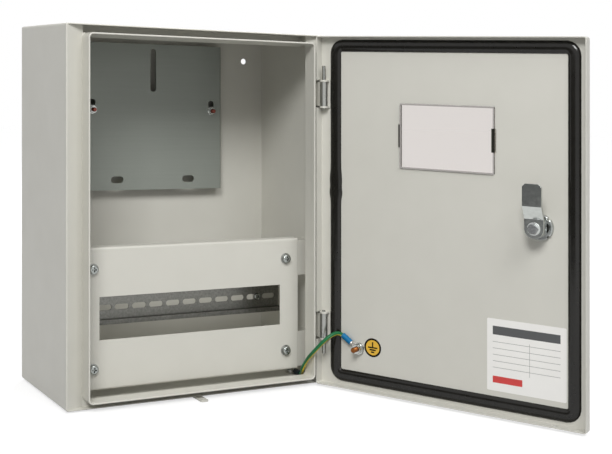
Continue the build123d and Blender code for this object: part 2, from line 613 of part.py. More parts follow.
# Door pan with the window opening, the lock's double-D hole, a notch at each hinge and a drain hole
with BuildPart() as door_panel:
    with BuildSketch(DOOR):
        with Locations(DOOR_MIDDLE):
            Rectangle(DOOR_WIDTH, DOOR_HEIGHT)
    extrude(amount=DOOR_FLANGE)
    fillet(door_panel.edges().filter_by(DOOR_NORMAL), BEND)
    fillet(door_panel.faces().sort_by(DOOR_NORMAL)[0].edges(), BEND - SHEET / 2)
    with BuildSketch(DOOR.offset(SHEET)):
        with Locations(DOOR_MIDDLE):
            RectangleRounded(DOOR_WIDTH - 2 * SHEET, DOOR_HEIGHT - 2 * SHEET, BEND - SHEET)
    extrude(amount=DOOR_FLANGE - SHEET, mode=Mode.SUBTRACT)
    with BuildSketch(DOOR):
        with Locations(PANE_MIDDLE):
            RectangleRounded(PANE_WIDTH, PANE_HEIGHT, PANE_CORNER)
    extrude(amount=SHEET, mode=Mode.SUBTRACT)
    with BuildSketch(DOOR):
        with Locations(LOCK_SPOT):
            Circle(LOCK_RADIUS + LOCK_FIT)
            Rectangle(LOCK_FLATS + 2 * LOCK_FIT, 3 * LOCK_RADIUS, mode=Mode.INTERSECT)
    extrude(amount=SHEET, mode=Mode.SUBTRACT)
    for z in (-HINGE_Z, HINGE_Z):
        with BuildSketch(door_plan(z)):
            with Locations((0, NOTCH_START)):
                Rectangle(2 * SHEET, DOOR_FLANGE - NOTCH_START, align=(Align.MIN, Align.MIN))
        extrude(amount=BARREL_LENGTH / 2 + NOTCH_CLEAR, both=True, mode=Mode.SUBTRACT)
    with BuildSketch(door_plan(-DOOR_HEIGHT / 2)):
        with Locations((DOOR_WIDTH - DRAIN_EDGE, DRAIN_BACK)):
            Circle(DRAIN_RADIUS)
    extrude(amount=-SHEET, mode=Mode.SUBTRACT)
door_panel.part.label = "door_panel"
export_step(door_panel.part, "parts/door_panel.step")

# Foam seal poured round the inside of the door, wide enough to take the lip on every side
GASKET_LINE_WIDTH = LIP_WIDTH - SHEET + GASKET_FREE_OUT
GASKET_LINE_HEIGHT = LIP_HEIGHT - SHEET - GASKET_TOP_IN - GASKET_FOOT_IN
GASKET_U = DOOR_WIDTH / 2 + GASKET_FREE_OUT / 2
GASKET_Z = (GUTTER_FOOT - GUTTER_TOP + GASKET_FOOT_IN - GASKET_TOP_IN) / 2
with BuildPart() as door_gasket:
    with BuildSketch(DOOR.offset(SHEET)):
        with Locations((GASKET_U, GASKET_Z)):
            RectangleRounded(
                GASKET_LINE_WIDTH + GASKET_WIDTH, GASKET_LINE_HEIGHT + GASKET_WIDTH, GASKET_CORNER
            )
            RectangleRounded(
                GASKET_LINE_WIDTH - GASKET_WIDTH,
                GASKET_LINE_HEIGHT - GASKET_WIDTH,
                GASKET_INNER_CORNER,
                mode=Mode.SUBTRACT,
            )
    extrude(amount=GASKET_HEIGHT)
    fillet(door_gasket.faces().sort_by(DOOR_NORMAL)[-1].edges(), GASKET_ROUND)
door_gasket.part.label = "door_gasket"
export_step(door_gasket.part, "parts/door_gasket.step")

# Clear window: bezel outside, thin wall through the sheet and two snap clips inside
PANE_BODY_WIDTH = PANE_WIDTH - 2 * PANE_FIT
PANE_BODY_HEIGHT = PANE_HEIGHT - 2 * PANE_FIT
with BuildPart() as door_window:
    with BuildSketch(DOOR):
        with Locations(PANE_MIDDLE):
            RectangleRounded(PANE_WIDTH + 2 * PANE_BEZEL, PANE_HEIGHT + 2 * PANE_BEZEL, PANE_BEZEL)
    extrude(amount=-PANE_THICK)
    fillet(door_window.faces().sort_by(DOOR_NORMAL)[0].edges(), PANE_THICK / 2)
    with BuildSketch(DOOR):
        with Locations(PANE_MIDDLE):
            RectangleRounded(PANE_BODY_WIDTH, PANE_BODY_HEIGHT, PANE_CORNER)
            Rectangle(
                PANE_BODY_WIDTH - 2 * PANE_WALL, PANE_BODY_HEIGHT - 2 * PANE_WALL, mode=Mode.SUBTRACT
            )
    extrude(amount=SHEET + PANE_PROUD)
    with BuildSketch(DOOR.offset(SHEET + CLIP_GAP)):
        with Locations(PANE_MIDDLE):
            Rectangle(PANE_BODY_WIDTH + 2 * CLIP_HOOK, CLIP_LENGTH)
            Rectangle(PANE_BODY_WIDTH - 2 * PANE_WALL, CLIP_LENGTH, mode=Mode.SUBTRACT)
    extrude(amount=CLIP_THICK)
door_window.part.label = "door_window"
export_step(door_window.part, "parts/door_window.step")

# Lock housing with a round head outside and two flats along its barrel
LOCK_PORT = DOOR.from_local_coords(Vector(LOCK_U + LOCK_FLATS / 2, LOCK_RISE, LOCK_PORT_W))
with BuildPart() as lock_body:
    with BuildSketch(DOOR):
        with Locations(LOCK_SPOT):
            Circle(LOCK_HEAD_RADIUS)
    extrude(amount=-LOCK_HEAD)
    chamfer(lock_body.faces().sort_by(DOOR_NORMAL)[0].edges(), LOCK_CHAMFER)
    with BuildSketch(DOOR):
        with Locations(LOCK_SPOT):
            Circle(LOCK_RADIUS)
            Rectangle(LOCK_FLATS, 2 * LOCK_RADIUS, mode=Mode.INTERSECT)
    extrude(amount=LOCK_LENGTH)
    with BuildSketch(DOOR.offset(-LOCK_HEAD)):
        with Locations(LOCK_SPOT):
            Circle(PLUG_RADIUS + RUNNING_FIT)
    extrude(amount=LOCK_HEAD + LOCK_LENGTH, mode=Mode.SUBTRACT)
    with BuildSketch(Plane(origin=LOCK_PORT, z_dir=DOOR_ALONG)):
        Circle(LOCK_PORT_RADIUS)
    extrude(amount=-LOCK_PORT_DEPTH, mode=Mode.SUBTRACT)
lock_body.part.label = "lock_body"
export_step(lock_body.part, "parts/lock_body.step")

# Ring nut that clamps the lock to the sheet
with BuildPart() as lock_nut:
    with BuildSketch(DOOR.offset(SHEET)):
        with Locations(LOCK_SPOT):
            Circle(NUT_RADIUS)
    extrude(amount=NUT_THICK)
    chamfer(lock_nut.faces().sort_by(DOOR_NORMAL)[-1].edges(), NUT_CHAMFER)
    with BuildSketch(DOOR.offset(SHEET)):
        with Locations(LOCK_SPOT):
            Circle(LOCK_RADIUS + RUNNING_FIT)
            with PolarLocations(NUT_RADIUS, 4, start_angle=45):
                Rectangle(2 * NUT_SLOT_DEPTH, NUT_SLOT)
    extrude(amount=NUT_THICK, mode=Mode.SUBTRACT)
lock_nut.part.label = "lock_nut"
export_step(lock_nut.part, "parts/lock_nut.step")

# Plug that the key turns, with a square end for the cam
with BuildPart() as lock_plug:
    with BuildSketch(DOOR.offset(PLUG_RECESS - LOCK_HEAD)):
        with Locations(LOCK_SPOT):
            Circle(PLUG_RADIUS)
    extrude(amount=LOCK_HEAD - PLUG_RECESS + CAM_SEAT)
    with BuildSketch(DOOR.offset(CAM_SEAT)):
        with Locations(LOCK_SPOT):
            Rectangle(PLUG_SQUARE, PLUG_SQUARE)
    extrude(amount=CAM_THICK - CAM_FIT)
    with BuildSketch(DOOR.offset(PLUG_RECESS - LOCK_HEAD)):
        with Locations(LOCK_SPOT):
            Rectangle(KEYWAY, KEYWAY_LENGTH)
    extrude(amount=KEYWAY_DEPTH, mode=Mode.SUBTRACT)
    with BuildSketch(DOOR.offset(CAM_SEAT + CAM_THICK)):
        with Locations(LOCK_SPOT):
            Circle(M6_RADIUS + RUNNING_FIT)
    extrude(amount=-(CAM_THICK + BOLT_DEPTH), mode=Mode.SUBTRACT)
lock_plug.part.label = "lock_plug"
export_step(lock_plug.part, "parts/lock_plug.step")

# Cranked cam: flat at the lock, bent inward, flat again behind the gutter
CAM_ROOT = DOOR.from_local_coords((LOCK_U, LOCK_RISE, CAM_SEAT))
CAM_PLANE = Plane(origin=CAM_ROOT, x_dir=(0, 0, 1), z_dir=DOOR_ALONG)
with BuildPart() as lock_cam:
    with BuildSketch(CAM_PLANE):
        Polygon(
            (-CAM_WIDTH / 2, 0),
            (CAM_BEND_START, 0),
            (CAM_BEND_END, CAM_CRANK),
            (CAM_REACH, CAM_CRANK),
            (CAM_REACH, CAM_CRANK + CAM_THICK),
            (CAM_BEND_END - CAM_THICK / 2, CAM_CRANK + CAM_THICK),
            (CAM_BEND_START - CAM_THICK / 2, CAM_THICK),
            (-CAM_WIDTH / 2, CAM_THICK),
            align=None,
        )
    extrude(amount=CAM_WIDTH / 2, both=True)
    with BuildSketch(DOOR.offset(CAM_SEAT)) as cam_outline:
        with Locations(LOCK_SPOT):
            Circle(CAM_WIDTH / 2)
            Rectangle(CAM_WIDTH, CAM_REACH, align=(Align.CENTER, Align.MIN))
        chamfer(cam_outline.vertices().group_by(Axis.Y)[-1], CAM_CORNER)
    extrude(amount=CAM_CRANK + CAM_THICK, mode=Mode.INTERSECT)
    with BuildSketch(DOOR.offset(CAM_SEAT)):
        with Locations(LOCK_SPOT):
            Rectangle(PLUG_SQUARE + 2 * CAM_FIT, PLUG_SQUARE + 2 * CAM_FIT)
    extrude(amount=CAM_THICK, mode=Mode.SUBTRACT)
lock_cam.part.label = "lock_cam"
export_step(lock_cam.part, "parts/lock_cam.step")

with BuildPart() as cam_washer:
    with BuildSketch(DOOR.offset(CAM_SEAT + CAM_THICK)):
        with Locations(LOCK_SPOT):
            Circle(M6_WASHER_RADIUS)
            Circle(M6_RADIUS + HOLE_FIT, mode=Mode.SUBTRACT)
    extrude(amount=M6_WASHER_THICK)
cam_washer.part.label = "cam_washer"
export_step(cam_washer.part, "parts/cam_washer.step")

CAM_BOLT_SEAT = CAM_SEAT + CAM_THICK + M6_WASHER_THICK
with BuildPart() as cam_bolt:
    with BuildSketch(DOOR.offset(CAM_BOLT_SEAT)):
        with Locations(LOCK_SPOT):
            RegularPolygon(M6_NUT_FLATS / 2, 6, major_radius=False)
    extrude(amount=M6_HEAD)
    with BuildSketch(DOOR.offset(CAM_BOLT_SEAT)):
        with Locations(LOCK_SPOT):
            Circle(M6_RADIUS)
    extrude(amount=-(M6_WASHER_THICK + CAM_THICK + BOLT_DEPTH - HOLE_FIT))
cam_bolt.part.label = "cam_bolt"
export_step(cam_bolt.part, "parts/cam_bolt.step")

# Earth points: stud, two washers, ring terminal with its sleeve, and nut, on the door and in the body
BODY_FLOOR = SHEET - HEIGHT / 2
BODY_EARTH = Plane(origin=(BODY_EARTH_X, BODY_EARTH_Y, BODY_FLOOR), x_dir=(0, -1, 0), z_dir=(0, 0, 1))
TERMINAL_TURN = radians(DOOR_TERMINAL_TURN)
DOOR_TERMINAL = DOOR_ALONG * cos(TERMINAL_TURN) + Vector(0, 0, sin(TERMINAL_TURN))
DOOR_EARTH_BASE = DOOR.from_local_coords(Vector(DOOR_EARTH_U, DOOR_EARTH_Z, SHEET))
DOOR_EARTH = Plane(origin=DOOR_EARTH_BASE, x_dir=DOOR_TERMINAL, z_dir=DOOR_INWARD)
TERMINAL_SEAT = M6_WASHER_THICK
TOP_WASHER_SEAT = TERMINAL_SEAT + TONGUE_THICK
EARTH_NUT_SEAT = TOP_WASHER_SEAT + M6_WASHER_THICK
CRIMP_AXIS = TERMINAL_SEAT + CRIMP_RADIUS
for place, base in (("door", DOOR_EARTH), ("body", BODY_EARTH)):
    with BuildPart() as earth_stud:
        with BuildSketch(base):
            Circle(M6_RADIUS)
        extrude(amount=EARTH_NUT_SEAT + M6_NUT_THICK + EARTH_PROUD)
        chamfer(earth_stud.faces().sort_by(Axis(base.origin, base.z_dir))[-1].edges(), STUD_TIP_CHAMFER)
    earth_stud.part.label = f"{place}_earth_stud"
    export_step(earth_stud.part, f"parts/{place}_earth_stud.step")

    with BuildPart() as earth_washers:
        for seat in (0, TOP_WASHER_SEAT):
            with BuildSketch(base.offset(seat)):
                Circle(M6_WASHER_RADIUS)
                Circle(M6_RADIUS + HOLE_FIT, mode=Mode.SUBTRACT)
            extrude(amount=M6_WASHER_THICK)
    earth_washers.part.label = f"{place}_earth_washers"
    export_step(earth_washers.part, f"parts/{place}_earth_washers.step")

    with BuildPart() as earth_nut:
        with BuildSketch(base.offset(EARTH_NUT_SEAT)):
            RegularPolygon(M6_NUT_FLATS / 2, 6, major_radius=False)
            Circle(M6_RADIUS + RUNNING_FIT, mode=Mode.SUBTRACT)
        extrude(amount=M6_NUT_THICK)
    earth_nut.part.label = f"{place}_earth_nut"
    export_step(earth_nut.part, f"parts/{place}_earth_nut.step")

    crimp = Plane(
        origin=base.from_local_coords((CRIMP_START, 0, CRIMP_AXIS)), x_dir=base.z_dir, z_dir=base.x_dir
    )
    with BuildPart() as ring_terminal:
        with BuildSketch(base.offset(TERMINAL_SEAT)):
            Circle(EYE_RADIUS)
            Rectangle(TONGUE_LENGTH, TONGUE_WIDTH, align=(Align.MIN, Align.CENTER))
            Circle(M6_RADIUS + HOLE_FIT, mode=Mode.SUBTRACT)
        extrude(amount=TONGUE_THICK)
        with BuildSketch(crimp):
            Circle(CRIMP_RADIUS)
        extrude(amount=CRIMP_END - CRIMP_START)
    ring_terminal.part.label = f"{place}_ring_terminal"
    export_step(ring_terminal.part, f"parts/{place}_ring_terminal.step")

    with BuildPart() as terminal_sleeve:
        with BuildSketch(crimp.offset(SLEEVE_START - CRIMP_START)):
            Circle(CRIMP_RADIUS + RUNNING_FIT + SLEEVE_WALL)
            Circle(CRIMP_RADIUS + RUNNING_FIT, mode=Mode.SUBTRACT)
        extrude(amount=SLEEVE_END - SLEEVE_START)
    terminal_sleeve.part.label = f"{place}_terminal_sleeve"
    export_step(terminal_sleeve.part, f"parts/{place}_terminal_sleeve.step")

# Bonding lead from the door's terminal over the seal, round the lip and down to the body's terminal
WIRE_ROUTE = [
    DOOR_EARTH.from_local_coords(Vector(CRIMP_END, 0, CRIMP_AXIS)),
    DOOR_EARTH.from_local_coords(Vector(WIRE_LEAD, 0, CRIMP_AXIS)),
    Vector(153.9, -174.2, -136.6),
    Vector(148.0, -170.5, -140.0),
    Vector(141.6, -166.0, -147.0),
    Vector(130.5, -164.0, -157.5),
    Vector(128.7, -152.0, -168.8),
    Vector(130.0, -139.5, -182.0),
    Vector(134.5, -130.5, -189.3),
    BODY_EARTH.from_local_coords(Vector(WIRE_LEAD, 0, CRIMP_AXIS)),
    BODY_EARTH.from_local_coords(Vector(CRIMP_END, 0, CRIMP_AXIS)),
]
WIRE_BENDS = []
for before, corner, after in zip(WIRE_ROUTE, WIRE_ROUTE[1:], WIRE_ROUTE[2:]):
    turn = (corner - before).get_angle(after - corner)
    run = min((corner - before).length, (after - corner).length)
    WIRE_BENDS.append(0.45 * run / tan(radians(turn) / 2))
print("wire bend radii", [round(bend, 1) for bend in WIRE_BENDS])

with BuildPart() as earth_wire:
    with BuildLine() as wire_path:
        FilletPolyline(*WIRE_ROUTE, radius=WIRE_BENDS)
    with BuildSketch(Plane(origin=wire_path.line @ 0, z_dir=wire_path.line % 0)):
        Circle(WIRE_RADIUS)
    sweep(path=wire_path.line)
earth_wire.part.label = "earth_wire"
export_step(earth_wire.part, "parts/earth_wire.step")
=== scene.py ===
import bpy
from math import ceil, cos, exp, pi, radians, sin, sqrt
from mathutils import Matrix, Vector


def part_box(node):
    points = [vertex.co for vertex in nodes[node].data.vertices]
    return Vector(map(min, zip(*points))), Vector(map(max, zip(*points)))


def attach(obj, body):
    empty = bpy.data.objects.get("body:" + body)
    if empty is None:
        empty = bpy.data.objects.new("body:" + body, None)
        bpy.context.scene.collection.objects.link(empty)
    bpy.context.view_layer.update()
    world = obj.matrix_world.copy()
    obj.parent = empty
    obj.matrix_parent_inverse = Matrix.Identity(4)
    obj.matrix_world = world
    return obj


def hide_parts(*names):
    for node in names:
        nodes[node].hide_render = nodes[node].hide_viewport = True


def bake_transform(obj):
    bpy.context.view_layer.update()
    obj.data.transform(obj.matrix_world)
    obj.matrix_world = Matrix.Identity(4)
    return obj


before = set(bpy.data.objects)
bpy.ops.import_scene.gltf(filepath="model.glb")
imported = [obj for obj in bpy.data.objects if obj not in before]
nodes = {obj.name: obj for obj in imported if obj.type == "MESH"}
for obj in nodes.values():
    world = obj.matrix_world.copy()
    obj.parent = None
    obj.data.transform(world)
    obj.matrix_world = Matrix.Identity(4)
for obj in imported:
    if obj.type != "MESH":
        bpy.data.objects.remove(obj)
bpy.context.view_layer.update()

# Body: 1.2 mm steel sheet, folded and welded into a five-sided box. Its front edge turns back into a rain
# gutter and forward again into the lip, and the whole is coated with baked light grey powder.


class Term:
    """One value in a shader; arithmetic on it adds Math nodes."""

    def __init__(self, shading, socket):
        self.shading = shading
        self.socket = socket

    def math(self, operation, first, second):
        return self.shading.node("Math", {"operation": operation}, {0: first, 1: second})

    def __add__(self, other):
        return self.math("ADD", self, other)

    def __radd__(self, other):
        return self.math("ADD", other, self)

    def __sub__(self, other):
        return self.math("SUBTRACT", self, other)

    def __rsub__(self, other):
        return self.math("SUBTRACT", other, self)

    def __mul__(self, other):
        return self.math("MULTIPLY", self, other)

    def __rmul__(self, other):
        return self.math("MULTIPLY", other, self)

    def __lt__(self, other):
        return self.math("LESS_THAN", self, other)

    def __gt__(self, other):
        return self.math("GREATER_THAN", self, other)

    def __mod__(self, other):
        return self.math("FLOORED_MODULO", self, other)

    def __abs__(self):
        return self.math("ABSOLUTE", self, 0.0)


class Shading:
    """A node tree; node() adds any shader node and gives back one of its outputs."""

    def __init__(self, owner):
        owner.use_nodes = True
        self.tree = owner.node_tree

    def node(self, kind, settings, sockets, output=0):
        made = self.tree.nodes.new("ShaderNode" + kind)
        for name, value in settings.items():
            setattr(made, name, value)
        for name, value in sockets.items():
            self.join(made.inputs[name], value)
        return Term(self, made.outputs[output])

    def join(self, socket, value):
        if isinstance(value, Term):
            self.tree.links.new(value.socket, socket)
        else:
            socket.default_value = value


class Finish(Shading):
    """A surface finish: its fixed values are given at once, and what varies over the surface is fed in."""

    def __init__(self, name, **fixed):
        self.material = bpy.data.materials.new(name)
        super().__init__(self.material)
        self.skin = self.tree.nodes["Principled BSDF"]
        self.feed(**fixed)

    def feed(self, **values):
        for socket, value in values.items():
            self.join(self.skin.inputs[socket.replace("_", " ")], value)

    def place(self):
        return self.node("TexCoord", {}, {}, "Object")

    def noise(self, grain, detail=2.0):
        """Soft noise whose grains are about that many metres across."""
        return self.node("TexNoise", {}, {"Vector": self.place(), "Scale": 1 / grain, "Detail": detail})

    def mix(self, share, first, second):
        return self.node("Mix", {"data_type": "RGBA"}, {0: share, 6: first, 7: second}, 2)

    def bumps(self, height, depth, strength=1.0, under=None):
        sockets = {"Strength": strength, "Distance": depth, "Height": height}
        if under:
            sockets["Normal"] = under
        return self.node("Bump", {}, sockets)


def dress(finish, *names):
    """Gives parts of the model a finish."""
    for name in names:
        nodes[name].data.materials.clear()
        nodes[name].data.materials.append(finish.material)


cloud_grain, peel_grain, peel_depth = 0.035, 0.0013, 0.00003
grey_coat = Finish("grey powder coat")
cloud = grey_coat.noise(cloud_grain)
soft_edges = grey_coat.node("Bevel", {"samples": 6}, {"Radius": 0.0006})
grey_coat.feed(Base_Color=grey_coat.mix(cloud, (0.62, 0.61, 0.555, 1), (0.585, 0.575, 0.52, 1)))
grey_coat.feed(Roughness=cloud * 0.08 + 0.36)
peel = grey_coat.noise(peel_grain, 1.0)
grey_coat.feed(Normal=grey_coat.bumps(peel, peel_depth, 0.6, soft_edges))
dress(grey_coat, "body_shell", "sealing_lug")

# Hinges: a steel barrel rolled on a leaf that is welded in the gutter, a U bracket welded in the door and a
# plain steel pin through both. Leaves and brackets are powder-coated; barrels and pins are bare steel.


def metal(name, light, shade, rough, grain=0.004, depth=0.00002):
    """Plated or bare metal with a faint cloud in its colour and gloss."""
    made = Finish(name, Metallic=1.0)
    cloud = made.noise(grain, 3.0)
    made.feed(Base_Color=made.mix(cloud, light, shade))
    made.feed(Roughness=cloud * 0.16 + rough)
    soft_edges = made.node("Bevel", {"samples": 4}, {"Radius": 0.0003})
    made.feed(Normal=made.bumps(cloud, depth, 0.5, soft_edges))
    return made


hinge_axis = Vector((0.147, -0.158, 0))
barrel_reach = 0.00435
barrel_steel = Finish("barrel steel with a coated leaf")
from_axis = barrel_steel.node(
    "VectorMath", {"operation": "SUBTRACT"}, {0: barrel_steel.place(), 1: hinge_axis}, 0
)
level = barrel_steel.node("VectorMath", {"operation": "MULTIPLY"}, {0: from_axis, 1: (1, 1, 0)}, 0)
bare = barrel_steel.node("VectorMath", {"operation": "LENGTH"}, {0: level}, 1) < barrel_reach
barrel_steel.feed(Base_Color=barrel_steel.mix(bare, (0.60, 0.59, 0.535, 1), (0.34, 0.345, 0.325, 1)))
barrel_steel.feed(Metallic=bare * 0.9)
barrel_steel.feed(Roughness=barrel_steel.noise(0.004, 3.0) * 0.1 + 0.24)
dress(barrel_steel, "hinge_barrel_upper", "hinge_barrel_lower")
pin_steel = metal("pin steel", (0.36, 0.365, 0.345, 1), (0.24, 0.245, 0.23, 1), 0.16)
dress(pin_steel, "hinge_pin_upper", "hinge_pin_lower")
dress(grey_coat, "hinge_bracket_upper", "hinge_bracket_lower")

# Meter plate: galvanised sheet with its two sides folded back, hung by keyholes on copper-plated weld
# studs. A zinc-plated washer and hexagon nut hold it on each stud.
galvanised = Finish("dull galvanised sheet", Metallic=0.25)
rolling = (8, 60, 420)
rolled = galvanised.node("VectorMath", {"operation": "MULTIPLY"}, {0: galvanised.place(), 1: rolling})
streaks = galvanised.node("TexNoise", {}, {"Vector": rolled, "Scale": 1.0, "Detail": 2.0})
drift = galvanised.noise(0.06)
tone = streaks * 0.5 + drift * 0.5
galvanised.feed(Base_Color=galvanised.mix(tone, (0.262, 0.281, 0.252, 1), (0.225, 0.242, 0.217, 1)))
galvanised.feed(Roughness=tone * 0.12 + 0.38)
dress(galvanised, "meter_plate")


def piece(name, points, faces, finish, smooth=35.0):
    """A new piece from its points and faces, with rounded surfaces shaded smooth."""
    mesh = bpy.data.meshes.new(name)
    mesh.from_pydata(points, [], faces)
    mesh.materials.append(finish.material)
    mesh.shade_smooth()
    mesh.set_sharp_from_angle(angle=radians(smooth))
    made = bpy.data.objects.new(name, mesh)
    bpy.context.scene.collection.objects.link(made)
    return made


def fit(made, body, slot, *stands_for):
    """Fixes a piece to a body and takes the place of plainer parts; the slot it is given is not used."""
    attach(made, body)
    if stands_for:
        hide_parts(*stands_for)


def turned(heights, radius_at, around, foot, axis, side):
    """Points and faces of a turned solid: a ring at each height, closed at both ends."""
    across = axis.cross(side)
    points = []
    for height in heights:
        for step in range(around):
            angle = 2 * pi * step / around
            arm = side * cos(angle) + across * sin(angle)
            points.append(foot + axis * height + arm * radius_at(height, angle))
    faces = [tuple(range(around - 1, -1, -1))]
    for ring in range(len(heights) - 1):
        for step in range(around):
            after = (step + 1) % around
            low = ring * around
            high = low + around
            faces.append((low + step, low + after, high + after, high + step))
    faces.append(tuple(range(len(points) - around, len(points))))
    return points, faces


def thread(radius, pitch, length):
    """Heights and radius of a screw thread with a chamfered tip, for turned()."""
    rings_per_turn = 6
    groove = 0.55 * pitch
    tip = 0.0007
    count = ceil(rings_per_turn * length / pitch)
    heights = [length * step / count for step in range(count + 1)]

    def radius_at(height, angle):
        ridge = abs((height / pitch - angle / (2 * pi)) % 1.0 * 2 - 1)
        return min(radius - groove * ridge, radius - tip + length - height)

    return heights, radius_at


def hexagon(flats, thick, ends):
    """Heights and radius of a hexagon whose corners are chamfered at the top, or at both ends."""
    rim = 0.0009
    end_face = flats / 2 * 0.97
    slope = 0.75
    heights = [0.0, rim, thick - rim, thick] if ends == 2 else [0.0, thick - rim, thick]

    def radius_at(height, angle):
        corner = flats / 2 / cos((angle + pi / 6) % (pi / 3) - pi / 6)
        from_end = min(height, thick - height) if ends == 2 else thick - height
        return min(corner, end_face + from_end * slope)

    return heights, radius_at


dull_copper = metal("dull copper plate", (0.27, 0.08, 0.06, 1), (0.17, 0.05, 0.04, 1), 0.30, 0.003)
out_of_wall = Vector((0, -1, 0))
up = Vector((0, 0, 1))
sheet = 0.0012
stud_side, stud_height = 0.076, 0.106
stud_radius, stud_pitch, stud_length, rod_sides = 0.0025, 0.0008, 0.0228, 24
stud_spots = [Vector((side * stud_side, 0, stud_height)) for side in (-1, 1)]
points, faces = [], []
for spot in stud_spots:
    start = len(points)
    foot = spot + out_of_wall * sheet
    rod = turned(*thread(stud_radius, stud_pitch, stud_length), rod_sides, foot, out_of_wall, up)
    points += rod[0]
    faces += [tuple(start + corner for corner in face) for face in rod[1]]
plate_studs = piece("threaded_plate_studs", points, faces, dull_copper)
fit(plate_studs, "box", "copper_studs", "plate_studs")
bright_zinc = metal("bright zinc", (0.60, 0.61, 0.59, 1), (0.44, 0.45, 0.43, 1), 0.13)
dress(bright_zinc, "plate_washers")


def node_group(name, inputs):
    """An empty geometry node group with named inputs, ready for its nodes."""
    group = bpy.data.node_groups.new(name, "GeometryNodeTree")
    for label, kind in inputs:
        group.interface.new_socket(label, in_out="INPUT", socket_type="NodeSocket" + kind)
    group.interface.new_socket("Made", in_out="OUTPUT", socket_type="NodeSocketGeometry")

    def add(kind, settings, sockets):
        made = group.nodes.new(kind)
        for label, value in settings.items():
            setattr(made, label, value)
        for label, value in sockets.items():
            if isinstance(value, bpy.types.NodeSocket):
                group.links.new(value, made.inputs[label])
            else:
                made.inputs[label].default_value = value
        return made.outputs

    return group, add


def run_group(name, group, base, **inputs):
    """Runs a node group on a mesh and keeps the outcome as a plain mesh."""
    carrier = bpy.data.objects.new(name, base)
    bpy.context.scene.collection.objects.link(carrier)
    step = carrier.modifiers.new(name, "NODES")
    step.node_group = group
    for socket in group.interface.items_tree:
        if socket.in_out == "INPUT" and socket.name in inputs:
            step[socket.identifier] = inputs[socket.name]
    outcome = carrier.evaluated_get(bpy.context.evaluated_depsgraph_get())
    mesh = bpy.data.meshes.new_from_object(outcome)
    carrier.modifiers.remove(step)
    carrier.data = mesh
    return carrier


fasteners, add = node_group(
    "fasteners on their holes",
    [("Holes", "Geometry"), ("Fastener", "Object"), ("Finish", "Material"), ("Seed", "Int")],
)
given = add("NodeGroupInput", {}, {})
turn = add("FunctionNodeRandomValue", {"data_type": "FLOAT"}, {2: 0.0, 3: 2 * pi, "Seed": given["Seed"]})
turn_about = add("ShaderNodeCombineXYZ", {}, {"Y": turn[1]})
shape = add("GeometryNodeObjectInfo", {}, {"Object": given["Fastener"]})
placed = add(
    "GeometryNodeInstanceOnPoints",
    {},
    {"Points": given["Holes"], "Instance": shape["Geometry"], "Rotation": turn_about[0]},
)
solid = add("GeometryNodeRealizeInstances", {}, {"Geometry": placed[0]})
painted = add("GeometryNodeSetMaterial", {}, {"Geometry": solid[0], "Material": given["Finish"]})
add("NodeGroupOutput", {}, {"Made": painted[0]})


def set_out(name, spots, fastener, finish, seed):
    """A copy of one fastener on each spot, each turned by chance as a fitter leaves it."""
    holes = bpy.data.meshes.new(name)
    holes.from_pydata(spots, [], [])
    made = run_group(name, fasteners, holes, Fastener=fastener, Finish=finish.material, Seed=seed)
    bpy.data.objects.remove(fastener)
    return made


nut_flats, nut_thick, nut_seat, nut_sides = 0.008, 0.004, 0.016, 48
prism = turned(*hexagon(nut_flats, nut_thick, ends=2), nut_sides, Vector(), out_of_wall, up)
nut = piece("plate_nut", *prism, bright_zinc)
nut_spots = [spot + out_of_wall * nut_seat for spot in stud_spots]
plate_nuts = set_out("plate_nuts", nut_spots, nut, bright_zinc, seed=3)
fit(plate_nuts, "box", "zinc_fasteners", "plate_nuts")

# Front cover: folded sheet with the window for the modules, screwed to four brackets that are welded to the
# side walls. All of it is powder-coated; washers and cross-recessed pan screws are zinc-plated.
dress(grey_coat, "front_cover")
for height in ("upper", "lower"):
    for hand in ("left", "right"):
        dress(grey_coat, f"cover_bracket_{height}_{hand}")
satin_zinc = metal("satin zinc", (0.36, 0.365, 0.345, 1), (0.26, 0.265, 0.25, 1), 0.30)
dress(satin_zinc, "cover_washers")


def pan_screw(name, rim, tall, shoulder, shank, length, finish):
    """Pan head with a cross recess on a plain shank, pointing out of the wall, its seat at the origin."""
    around, ring_count = 96, 20
    doming, tip = 0.0002, 0.0008
    arm, blade, depth = rim * 0.52, rim * 0.12, tall * 0.55
    ramp = arm * 0.4
    rings = [rim * step / ring_count for step in range(1, ring_count + 1)]
    points = [Vector((0, depth - tall, 0))]
    for ring in rings:
        past = max(0.0, ring - rim + shoulder) / shoulder
        crown = tall - doming * (ring / rim) ** 2 - shoulder * (1 - sqrt(max(0.0, 1 - past * past)))
        for step in range(around):
            angle = 2 * pi * step / around
            x, z = ring * cos(angle), ring * sin(angle)
            thin, far = min(abs(x), abs(z)), max(abs(x), abs(z))
            cut = depth * min(1.0, (arm - far) / ramp) if thin < blade and far < arm else 0.0
            points.append(Vector((x, cut - crown, z)))
    for ring, back in ((rim, 0.0), (shank, 0.0), (shank, length - tip), (shank - tip, length)):
        for step in range(around):
            angle = 2 * pi * step / around
            points.append(Vector((ring * cos(angle), back, ring * sin(angle))))
    faces = [(0, 1 + step, 1 + (step + 1) % around) for step in range(around)]
    for ring in range(len(rings) + 3):
        for step in range(around):
            after = (step + 1) % around
            low = 1 + ring * around
            high = low + around
            faces.append((low + step, high + step, high + after, low + after))
    faces.append(tuple(range(len(points) - around, len(points))))
    return piece(name, points, faces, finish)


